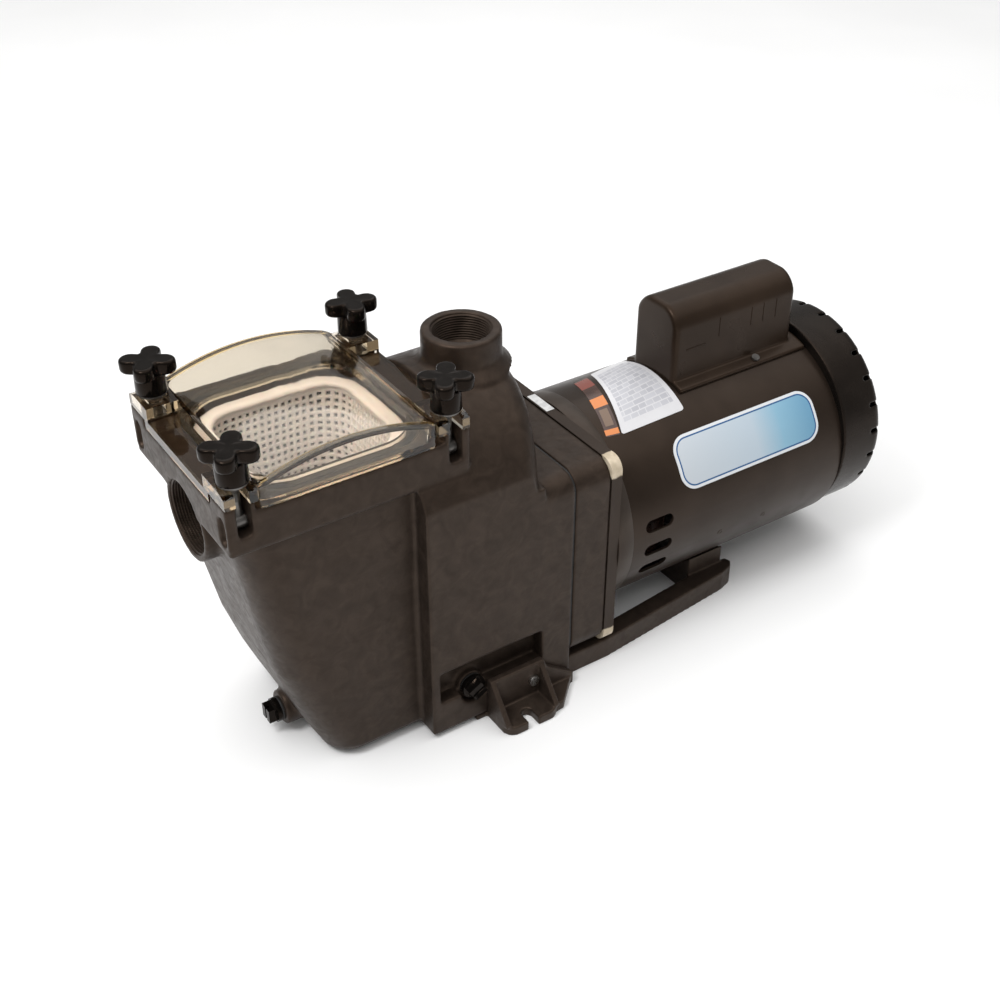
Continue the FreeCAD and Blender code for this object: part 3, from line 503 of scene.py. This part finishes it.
def threaded_bolt(node):
    """A swing bolt: the CAD eye and shank below, a helical thread above."""
    bottom, radius, depth, pitch = 284 * MM, 3.9 * MM, 0.55 * MM, 1.41 * MM
    low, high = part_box(node)
    middle = (low + high) / 2
    bm = bmesh.new()
    bm.from_mesh(nodes[node].data)
    bmesh.ops.remove_doubles(bm, verts=bm.verts, dist=0.00001)
    everything = bm.verts[:] + bm.edges[:] + bm.faces[:]
    cut = bmesh.ops.bisect_plane(bm, geom=everything, plane_co=(0, 0, bottom),
                                 plane_no=(0, 0, 1), clear_outer=True)
    rim = [e for e in cut["geom_cut"] if isinstance(e, bmesh.types.BMEdge)]
    bmesh.ops.holes_fill(bm, edges=rim, sides=0)
    rows, columns = round((high.z - bottom) / pitch * 8), 32

    def spot(row, column):
        angle = 2 * math.pi * column / columns
        z = bottom - 0.5 * MM + (high.z - bottom) * row / (rows - 1)
        ends = min(1, (rows - 1 - row) / 5)
        r = radius - depth + ends * depth * wave(z / pitch - column / columns)
        return Vector((middle.x + r * math.cos(angle), middle.y + r * math.sin(angle), z))

    rings = tube_grid(bm, spot, rows, columns, False)
    bm.faces.new(rings[0][::-1])
    bm.faces.new(rings[-1])
    piece = place(node + "_threaded", mesh_from(bm, node), body_name(node), "steel", "dark_steel")
    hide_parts(node)


def wrapped_plate(name, node, corners, thickness, finish, rounding):
    """A thin plate on the motor's shell. Corners are (x mm, degrees from the top) for
    front top, rear top, front bottom and rear bottom."""
    radius = PLATE_SEAT * MM
    (x00, a00), (x10, a10), (x01, a01), (x11, a11) = corners
    width = (abs(x10 - x00) + abs(x11 - x01)) / 2
    height = radius / MM * math.radians((abs(a01 - a00) + abs(a11 - a10)) / 2)
    across, down = 28, 28

    def spot(u, v, r):
        x = (1 - v) * ((1 - u) * x00 + u * x10) + v * ((1 - u) * x01 + u * x11)
        a = (1 - v) * ((1 - u) * a00 + u * a10) + v * ((1 - u) * a01 + u * a11)
        a = math.radians(a)
        return Vector((x * MM, -r * math.sin(a), AXIS_Z + r * math.cos(a)))

    def rounded(u, v):
        """Pulls a grid point on the square into the plate's rounded outline."""
        x, y = (u - 0.5) * width, (v - 0.5) * height
        corner_x, corner_y = width / 2 - rounding, height / 2 - rounding
        reach = abs(y) - corner_y
        if reach > 0:
            limit = corner_x + math.sqrt(max(0.0, rounding ** 2 - reach ** 2))
            x *= limit / (width / 2)
        return x / width + 0.5, y / height + 0.5

    bm = bmesh.new()
    layer = bm.loops.layers.uv.new("plate")
    for r, flip in ((radius + thickness, False), (radius, True)):
        grid = []
        for j in range(down + 1):
            v = 0.5 - 0.5 * math.cos(math.pi * j / down)
            row = []
            for i in range(across + 1):
                u, w = rounded(i / across, v)
                row.append((bm.verts.new(spot(u, w, r)), (u, w)))
            grid.append(row)
        for j in range(down):
            for i in range(across):
                ring = [grid[j][i], grid[j][i + 1], grid[j + 1][i + 1], grid[j + 1][i]]
                if flip:
                    ring.reverse()
                face = bm.faces.new([corner[0] for corner in ring])
                for loop, corner in zip(face.loops, ring):
                    loop[layer].uv = corner[1]
    edges = [e for e in bm.edges if e.is_boundary]
    bmesh.ops.bridge_loops(bm, edges=edges)
    piece = place(name, mesh_from(bm, name, 40), "pump", finish)
    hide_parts(node)


def shell_band(name, profile, finish):
    """A band round the motor's axis; its section is a loop of (x, radius) in mm."""
    columns = 160
    bm = bmesh.new()

    def spot(row, column):
        a = 2 * math.pi * column / columns
        x, r = profile[row]
        return Vector((x * MM, -r * MM * math.sin(a), AXIS_Z + r * MM * math.cos(a)))

    tube_grid(bm, spot, len(profile), columns, True)
    place(name, mesh_from(bm, name, 40), "pump", "motor_paint", finish)


def dimple(name, x, angle):
    """A shallow pressed dimple on the shell: a low ring round a cup. Its section is a row
    of (share of its radius, height in mm)."""
    radius = 2.6
    profile = ((0.0, 0.05), (0.45, 0.05), (0.72, 0.22), (0.88, 0.42), (1.0, 0.30), (1.18, 0.0))
    columns = 28
    a = math.radians(angle)
    out = Vector((0, -math.sin(a), math.cos(a)))
    side = Vector((1, 0, 0))
    up = out.cross(side)
    centre = Vector((x * MM, 0, AXIS_Z)) + out * (SHELL_SEAT * MM)
    bm = bmesh.new()
    middle = bm.verts.new(centre + out * (profile[0][1] * MM))
    rings = []
    for share, height in profile[1:]:
        ring = []
        for c in range(columns):
            t = 2 * math.pi * c / columns
            step = (side * math.cos(t) + up * math.sin(t)) * (share * radius * MM)
            ring.append(bm.verts.new(centre + step + out * (height * MM)))
        rings.append(ring)
    for c in range(columns):
        bm.faces.new((middle, rings[0][c], rings[0][(c + 1) % columns]))
        for near, far in zip(rings, rings[1:]):
            bm.faces.new((near[c], far[c], far[(c + 1) % columns], near[(c + 1) % columns]))
    bm.faces.new(rings[-1][::-1])
    place(name, mesh_from(bm, name, 60), "pump", "motor_paint")


# Raised marks on the near side of the capacitor cover, in mm: one lying, four standing.
COVER_MARKS = [((214, -24.95, 242.2), (236, -24.1, 243.7))] + [
    ((x, -24.9, 246), (x + 1.3, -24.1, 264)) for x in (250, 287, 301, 316)]


def cover_lip():
    """Closes the crescent between the shell's end and the rear cover's rim, which sits higher."""
    columns, rise, rim, shell = 144, 7.0, 97.3, 95.2
    section = ((351.06, 0), (351.06, 1), (352.6, 1), (352.6, 0))
    bm = bmesh.new()

    def spot(row, column):
        a = 2 * math.pi * column / columns
        outer = rise * math.cos(a) + math.sqrt(rim ** 2 - (rise * math.sin(a)) ** 2)
        x, outside = section[row]
        r = outer if outside else min(shell, outer - 0.6)
        return Vector((x * MM, -r * MM * math.sin(a), AXIS_Z + r * MM * math.cos(a)))

    tube_grid(bm, spot, len(section), columns, True)
    place("cover_lip", mesh_from(bm, "cover_lip", 40), "pump", "gloss_black", "cover_black")


def crown_cover(piece):
    """Dome the top of the capacitor cover: points drop more, the nearer they are to a side."""
    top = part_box("capacitor_cover")[1].z
    middle_y, half_width, crown, wall = 3.5 * MM, 28 * MM, 4.5 * MM, 24 * MM
    shoulder = top - wall
    for v in piece.data.vertices:
        rise = min(max((v.co.z - shoulder) / (top - shoulder), 0.0), 1.0)
        aside = min(abs(v.co.y - middle_y) / half_width, 1.0)
        v.co.z -= crown * rise * aside ** 2


def strip_block(name, low, high, slot, finish, edge):
    """A small raised rib or bar between two corners, with broken edges."""
    bm = bmesh.new()
    bmesh.ops.create_cube(bm, size=1)
    for vert in bm.verts:
        for axis in range(3):
            vert.co[axis] = (high if vert.co[axis] > 0 else low)[axis] * MM
    bmesh.ops.bevel(bm, geom=bm.edges[:], offset=edge, segments=2, affect="EDGES", profile=0.6)
    place(name, mesh_from(bm, name), "pump", slot, finish)


# ------------------------------------------------------------ knobs
# Lobe radius and reach, half an arm's width, the top hub's radius and the gap over the
# washer, in mm; the angle of the first lobe in degrees, for one knob and for the others.
LOBE_R, LOBE_REACH, ARM_HALF, HUB_TOP_R, WASHER_GAP = 7.5, 13.7, 6.9, 11.6, 0.08
KNOB_ANGLES = {"rear_left": 78.0}
USUAL_KNOB_ANGLE = 56.4


def star_radius(angle):
    """Outline of the four-lobed star in mm, angle in degrees from a lobe."""
    off = math.radians(abs((angle + 45) % 90 - 45))
    best = HUB_TOP_R
    side = LOBE_REACH * math.sin(off)
    if side < LOBE_R:
        best = max(best, LOBE_REACH * math.cos(off) + math.sqrt(LOBE_R ** 2 - side ** 2))
    arm = ARM_HALF / max(math.sin(off), 0.01)
    return max(best, min(arm, LOBE_REACH))


def star_knob(corner):
    """A four-lobed knob with full round edges on its hub, turned about the bolt."""
    node = "lid_knob_" + corner
    low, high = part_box(node)
    bolt_low, bolt_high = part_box("swing_bolt_" + corner)
    middle = (bolt_low + bolt_high) / 2
    columns = 144
    raw = [star_radius(360 * c / columns) for c in range(columns)]
    outline = [sum(raw[(c + k) % columns] for k in (-2, -1, 0, 1, 2)) / 5 for c in range(columns)]
    start = math.radians(KNOB_ANGLES.get(corner, USUAL_KNOB_ANGLE))
    top = high.z / MM
    foot = low.z / MM + WASHER_GAP
    bore_r, bore_depth = 3.95 * MM, 6
    # (height, how far inside the star's outline, round hub radius or None)
    rows = [(foot, 0, 9.6), (foot, 0, 11.2), (foot + 0.4, 0, 11.8), (foot + 1.2, 0, 12.0),
            (top - 12.5, 0, 11.6), (top - 11.4, 0, 11.4), (top - 10.8, 2.4, None),
            (top - 10.2, 1.0, None), (top - 9.3, 0.3, None), (top - 8.0, 0.0, None),
            (top - 2.6, 0.0, None), (top - 1.4, 0.35, None), (top - 0.6, 1.1, None),
            (top - 0.15, 2.1, None), (top - 0.02, 3.3, None), (top - 0.02, 5.0, None),
            (top - 0.10, 8.0, None), (top - 0.15, 0, 2.6)]

    def spot(row, column):
        z, inside, hub = rows[row]
        r = hub if hub is not None else max(outline[column] - inside, 2.8)
        a = start + 2 * math.pi * column / columns
        return Vector((middle.x + r * MM * math.cos(a), middle.y + r * MM * math.sin(a), z * MM))

    bm = bmesh.new()
    rings = tube_grid(bm, spot, len(rows), columns, False)
    bm.faces.new(rings[-1])
    bore = [bm.verts.new(v.co) for v in rings[0]]
    for v in bore:
        flat = Vector((v.co.x - middle.x, v.co.y - middle.y, 0)).normalized() * bore_r
        v.co.x, v.co.y = middle.x + flat.x, middle.y + flat.y
    deep = [bm.verts.new((v.co.x, v.co.y, (top - bore_depth) * MM)) for v in bore]
    for near, far in ((rings[0], bore), (bore, deep)):
        for c in range(columns):
            d = (c + 1) % columns
            bm.faces.new((near[c], near[d], far[d], far[c]))
    bm.faces.new(deep)
    piece = place(node + "_star", mesh_from(bm, node, 60), body_name(node), "gloss_black",
                  "knob_black")
    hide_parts(node)


# ------------------------------------------------------------ lid edge
def lid_bead(name, side):
    """The thick rounded edge of the lid's arch, where light gathers as gold."""
    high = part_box("strainer_lid")[1]
    middle_x, arc_r, bead, half_length = -144.5, 188.2, 2.2, 71.0
    y = side * (high.y / MM - 3.0)
    centre_z = high.z / MM - 190.0
    rows, columns = 60, 12
    reach = math.asin(half_length / arc_r)

    def spot(row, column):
        a = -reach + 2 * reach * row / (rows - 1)
        b = 2 * math.pi * column / columns
        ends = min(1.0, math.sin(math.pi * row / (rows - 1)) * 6 + 0.15)
        r = arc_r - 0.9 + bead * ends * math.cos(b)
        return Vector(((middle_x + r * math.sin(a)) * MM,
                       (y + 1.25 * bead * ends * math.sin(b)) * MM,
                       (centre_z + r * math.cos(a)) * MM))

    bm = bmesh.new()
    rings = tube_grid(bm, spot, rows, columns, False)
    bm.faces.new(rings[0][::-1])
    bm.faces.new(rings[-1])
    place(name, mesh_from(bm, name, 60), "pump", "clear_amber", "edge_amber")


# ------------------------------------------------------------ basket
# Basket sections: height, front x, rear x, half width, corner radius, all in mm.
BASKET_ROWS = ((264.0, -202.0, -84.0, 54.0, 26.0), (150.0, -196.0, -92.0, 50.0, 24.0),
               (46.0, -160.0, -96.0, 46.0, 22.0))
# Cells along each stretch of the wall, a cell's height, and the inflow opening, in mm.
SIDE_CELLS, CORNER_CELLS, REAR_CELLS, FRONT_CELLS = 11, 6, 13, 9
CELL = 6.2
INFLOW_Z, INFLOW_R = 231.0, 28.0


def ring_points(front, rear, half, corner):
    """Points round a rounded rectangle, starting at the near side's front end."""
    points = []

    def line(start, end, count):
        for i in range(count):
            t = i / count
            points.append((start[0] + t * (end[0] - start[0]), start[1] + t * (end[1] - start[1])))

    def arc(cx, cy, begin):
        for i in range(CORNER_CELLS):
            a = math.radians(begin + 90 * i / CORNER_CELLS)
            points.append((cx + corner * math.cos(a), cy + corner * math.sin(a)))

    line((front + corner, -half), (rear - corner, -half), SIDE_CELLS)
    arc(rear - corner, corner - half, -90)
    line((rear, corner - half), (rear, half - corner), REAR_CELLS)
    arc(rear - corner, half - corner, 0)
    line((rear - corner, half), (front + corner, half), SIDE_CELLS)
    arc(front + corner, half - corner, 90)
    line((front, half - corner), (front, corner - half), FRONT_CELLS)
    arc(front + corner, corner - half, 180)
    return points


def basket_section(z):
    """Front, rear, half width and corner radius of the basket's wall at a height."""
    values = []
    for k in range(1, 5):
        total = 0.0
        for i, row in enumerate(BASKET_ROWS):
            weight = 1.0
            for j, other in enumerate(BASKET_ROWS):
                if i != j:
                    weight *= (z - other[0]) / (row[0] - other[0])
            total += weight * row[k]
        values.append(total)
    return values


def mixed(a, b, t):
    return a + (b - a) * t


def holed_cell(bm, corners, share_u, share_v):
    """Four quads round one square opening; corners are in order round the cell."""
    low_left, low_right, top_right, top_left = (v.co.copy() for v in corners)
    inner = []
    for u, v in ((-1, -1), (1, -1), (1, 1), (-1, 1)):
        s, t = 0.5 + u * share_u / 2, 0.5 + v * share_v / 2
        inner.append(bm.verts.new(mixed(mixed(low_left, low_right, s),
                                        mixed(top_left, top_right, s), t)))
    for i in range(4):
        j = (i + 1) % 4
        bm.faces.new((corners[i], corners[j], inner[j], inner[i]))


def basket_wall():
    """The basket's perforated wall and floor; the rear wall has narrow upright slots."""
    bm = bmesh.new()
    heights = [271.0, 266.0]
    while heights[-1] - CELL > 47:
        heights.append(heights[-1] - CELL)
    sections = [(z, 1.0) for z in heights] + [(46.6, 0.985), (46.0, 0.94)]
    sections += [(46.0, share) for share in (0.76, 0.58, 0.40, 0.22)]
    rings = []
    for z, share in sections:
        front, rear, half, corner = basket_section(min(z, 264.0))
        middle = (front + rear) / 2
        ring = ring_points(front, rear, half, corner)
        rings.append([bm.verts.new(((middle + (x - middle) * share) * MM, y * share * MM, z * MM))
                      for x, y in ring])
    columns = len(rings[0])
    rear_from = SIDE_CELLS + CORNER_CELLS
    front_from = columns - CORNER_CELLS - FRONT_CELLS
    for r in range(len(rings) - 1):
        for c in range(columns):
            d = (c + 1) % columns
            corners = (rings[r + 1][c], rings[r + 1][d], rings[r][d], rings[r][c])
            centre = sum((v.co for v in corners), Vector()) / 4
            away = math.hypot(centre.y / MM, centre.z / MM - INFLOW_Z)
            if front_from <= c < columns - CORNER_CELLS + 1 and away < INFLOW_R:
                continue
            whole = r == 0 or len(heights) - 1 <= r <= len(heights)
            if whole:
                bm.faces.new(corners)
            elif rear_from <= c < rear_from + REAR_CELLS and r < len(heights):
                holed_cell(bm, corners, 0.46, 0.86)
            else:
                holed_cell(bm, corners, 0.54, 0.54)
    bm.faces.new(rings[-1])
    piece = place("basket_wall", mesh_from(bm, "basket_wall", 50), "pump", "white_plastic")
    shell = piece.modifiers.new("wall", "SOLIDIFY")
    shell.thickness = 2.2 * MM
    shell.offset = 1.0
    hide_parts("strainer_basket")


def basket_brim():
    """The basket's wide rounded brim: its section is a loop of (how far out, height) in mm."""
    profile = ((0.3, 269.8), (0.0, 271.0), (0.2, 272.4), (1.0, 273.4), (2.4, 274.1), (5.0, 274.2),
               (9.2, 274.2), (11.2, 273.9), (12.3, 273.1), (12.8, 272.1), (12.6, 270.9),
               (11.8, 270.3), (7.0, 270.2), (3.0, 269.6))
    front, rear, half, corner = -199.6, -86.4, 51.6, 24.3
    outlines = [ring_points(front - out, rear + out, half + out, corner + out)
                for out, _ in profile]

    def spot(row, column):
        x, y = outlines[row][column]
        return Vector((x * MM, y * MM, profile[row][1] * MM))

    bm = bmesh.new()
    tube_grid(bm, spot, len(profile), len(outlines[0]), True)
    piece = place("basket_brim", mesh_from(bm, "basket_brim", 60), "pump", "white_plastic")
    soft = piece.modifiers.new("soft", "SUBSURF")
    soft.levels = soft.render_levels = 1


def basket_inflow():
    """A rounded ring round the basket's inflow opening."""
    bm = bmesh.new()
    tube, around, across = 1.9, 56, 10

    def spot(row, column):
        a, b = 2 * math.pi * row / around, 2 * math.pi * column / across
        r = INFLOW_R + 1.5 + tube * math.cos(b)
        y, z = r * math.cos(a), INFLOW_Z + r * math.sin(a)
        front = basket_section(z)[0]
        return Vector(((front + 1.2 + tube * math.sin(b)) * MM, y * MM, z * MM))

    tube_grid(bm, spot, around, across, True)
    place("basket_inflow_ring", mesh_from(bm, "basket_inflow_ring", 60), "pump", "white_plastic")


# ------------------------------------------------------------ pump end
moulded("pump_housing", "moulded_black", 1.5 * MM, 5)
moulded("seal_plate", "moulded_black", 1.2 * MM, 4)
moulded("mounting_foot", "moulded_black", 0.85 * MM, 7, "foot_black")
moulded("rear_cover", "gloss_black", 1.1 * MM, 4, "cover_black")
crown_cover(moulded("capacitor_cover", "gloss_black", 0.9 * MM, 5, "cap_black"))
cover_lip()
for number, (low, high) in enumerate(COVER_MARKS):
    strip_block("cover_mark_" + str(number), low, high, "gloss_black", "cap_black", 0.2 * MM)
for corner in ("front_right", "front_left", "rear_right", "rear_left"):
    star_knob(corner)
    threaded_bolt("swing_bolt_" + corner)
    bevelled("knob_washer_" + corner, "dark_steel", 0.3 * MM)
for side in ("front", "side"):
    bevelled("drain_plug_" + side, "knob_black", 0.5 * MM)
    bevelled("drain_gasket_" + side, "rubber_black", 0.3 * MM)

port_turn = Matrix.Rotation(-math.pi / 2, 4, "Y")
threaded_sleeve("discharge_thread", 24.1 * MM, 22 * MM, Vector((0, 0, 317 * MM)),
                Matrix.Identity(4))
threaded_sleeve("suction_thread", 30.1 * MM, 23 * MM, Vector((-240 * MM, 0, 231 * MM)), port_turn)

bevelled("strainer_lid", "clear_amber", 1.9 * MM, 4)
basket_wall()
basket_brim()
basket_inflow()
for side_name, side in (("right", -1), ("left", 1)):
    lid_bead("lid_edge_" + side_name, side)

# ------------------------------------------------------------ motor end
wrapped_plate("rating_plate", "rating_label", ((158, -23), (203, -33), (127, 31), (196, 30)),
              0.25 * MM, "label_white", 2.5)
wrapped_plate("caution_plate", "caution_strip",
              ((133.5, -18), (150, -20), (112, 29.5), (125.5, 30.5)), 0.2 * MM, "label_orange", 1.0)
wrapped_plate("name_plate_badge", "name_plate", ((165, 42), (325, 42), (165, 71), (325, 71)),
              0.7 * MM, "label_blue", PLATE_ROUNDING)
shell_band("front_band", ((92.8, 95.6), (92.8, 96.2), (93.4, 96.45), (107.6, 96.45),
                          (108.4, 96.1), (108.4, 95.6)), "band_paint")
dimple("shell_dimple_front", 212, 107)
dimple("shell_dimple_rear", 264, 108)
strip_block("front_tag", (83.2, -1.0, 213.0), (91.4, 28.5, 213.3), "label_white", "tag_white",
            0.1 * MM)

plain = {
    "lid_gasket": "rubber_black", "housing_gasket": "rubber_black", "slinger": "rubber_black",
    "motor_pad": "rubber_black", "seal_seat": "white_plastic", "seal_head": "rubber_black",
    "swing_bolt_pins": "steel", "diffuser": "moulded_black", "wear_ring": "bronze",
    "impeller": "moulded_black", "impeller_screw": "steel", "housing_bolts": "steel",
    "motor_front_bracket": "bracket_paint", "motor_rear_bracket": "cast_aluminium",
    "motor_shell": "motor_paint", "stator_core": "core_steel", "stator_windings": "copper",
    "rotor_core": "core_steel", "motor_shaft": "steel", "motor_through_bolts": "steel",
    "cooling_fan": "fan_plastic", "rear_cover_screws": "steel", "terminal_board": "board_brown",
    "capacitor_cover_screws": "dark_steel", "capacitor": "can_grey", "capacitor_strap": "steel",
    "foot_screws": "steel",
}
for node, finish in plain.items():
    dress(nodes[node], finish)
for end in ("front", "rear"):
    for part in ("outer_ring", "inner_ring", "balls"):
        dress(nodes[end + "_bearing_" + part], "steel")
for node in ("foot_screws", "rear_cover_screws", "housing_bolts"):
    bevelled(node, "steel", 0.25 * MM)
bevelled("capacitor_cover_screws", "dark_steel", 0.25 * MM)

# ------------------------------------------------------------ floor, light, camera
def make_floor():
    bm = bmesh.new()
    bmesh.ops.create_grid(bm, x_segments=2, y_segments=2, size=12)
    mesh = bpy.data.meshes.new("floor")
    bm.to_mesh(mesh)
    bm.free()
    floor = bpy.data.objects.new("floor", mesh)
    bpy.context.scene.collection.objects.link(floor)
    paper = Finish("floor_paper", Roughness=0.9, Specular_IOR_Level=0.1)
    paper.colour(paper.ramp(paper.noise(3, 2), ((0.3, (0.90, 0.90, 0.90)),
                                                (0.7, (0.93, 0.93, 0.93)))))
    floor.data.materials.append(paper.material)
    floor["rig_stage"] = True


def soft_light(name, place_at, aim_at, size, power):
    data = bpy.data.lights.new(name, "AREA")
    data.shape = "RECTANGLE"
    data.size, data.size_y = size
    data.energy = power
    light = bpy.data.objects.new(name, data)
    light.location = place_at
    light.rotation_mode = "QUATERNION"
    light.rotation_quaternion = (Vector(aim_at) - Vector(place_at)).to_track_quat("-Z", "Y")
    bpy.context.scene.collection.objects.link(light)


def make_sky():
    world = bpy.data.worlds.new("studio")
    world.use_nodes = True
    sky = world.node_tree.nodes["Background"]
    sky.inputs["Color"].default_value = (1.0, 0.995, 0.985, 1)
    sky.inputs["Strength"].default_value = 0.40
    bpy.context.scene.world = world


def make_camera():
    target, distance = Vector((36.4, 0.0, 139.2)) * MM, 1.2036
    azimuth, elevation = math.radians(-33.58), math.radians(35.12)
    back = Vector((math.sin(azimuth) * math.cos(elevation),
                   -math.cos(azimuth) * math.cos(elevation), math.sin(elevation)))
    right = Vector((math.cos(azimuth), math.sin(azimuth), 0))
    up = back.cross(right)
    data = bpy.data.cameras.new("camera")
    data.lens = 50.22
    data.sensor_width = 36
    camera = bpy.data.objects.new("camera", data)
    turn = Matrix((right, up, back)).transposed()
    camera.matrix_world = Matrix.Translation(target + back * distance) @ turn.to_4x4()
    bpy.context.scene.collection.objects.link(camera)
    bpy.context.scene.camera = camera


make_floor()
make_sky()
make_camera()
soft_light("overhead", (0.1, 0.3, 2.6), (0.1, 0.3, 0.0), (5.0, 5.0), 112)
soft_light("key", (-0.9, -0.2, 1.5), (0.0, 0, 0.15), (0.5, 0.5), 11)
bpy.context.scene.view_settings.view_transform = "Standard"

low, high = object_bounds()
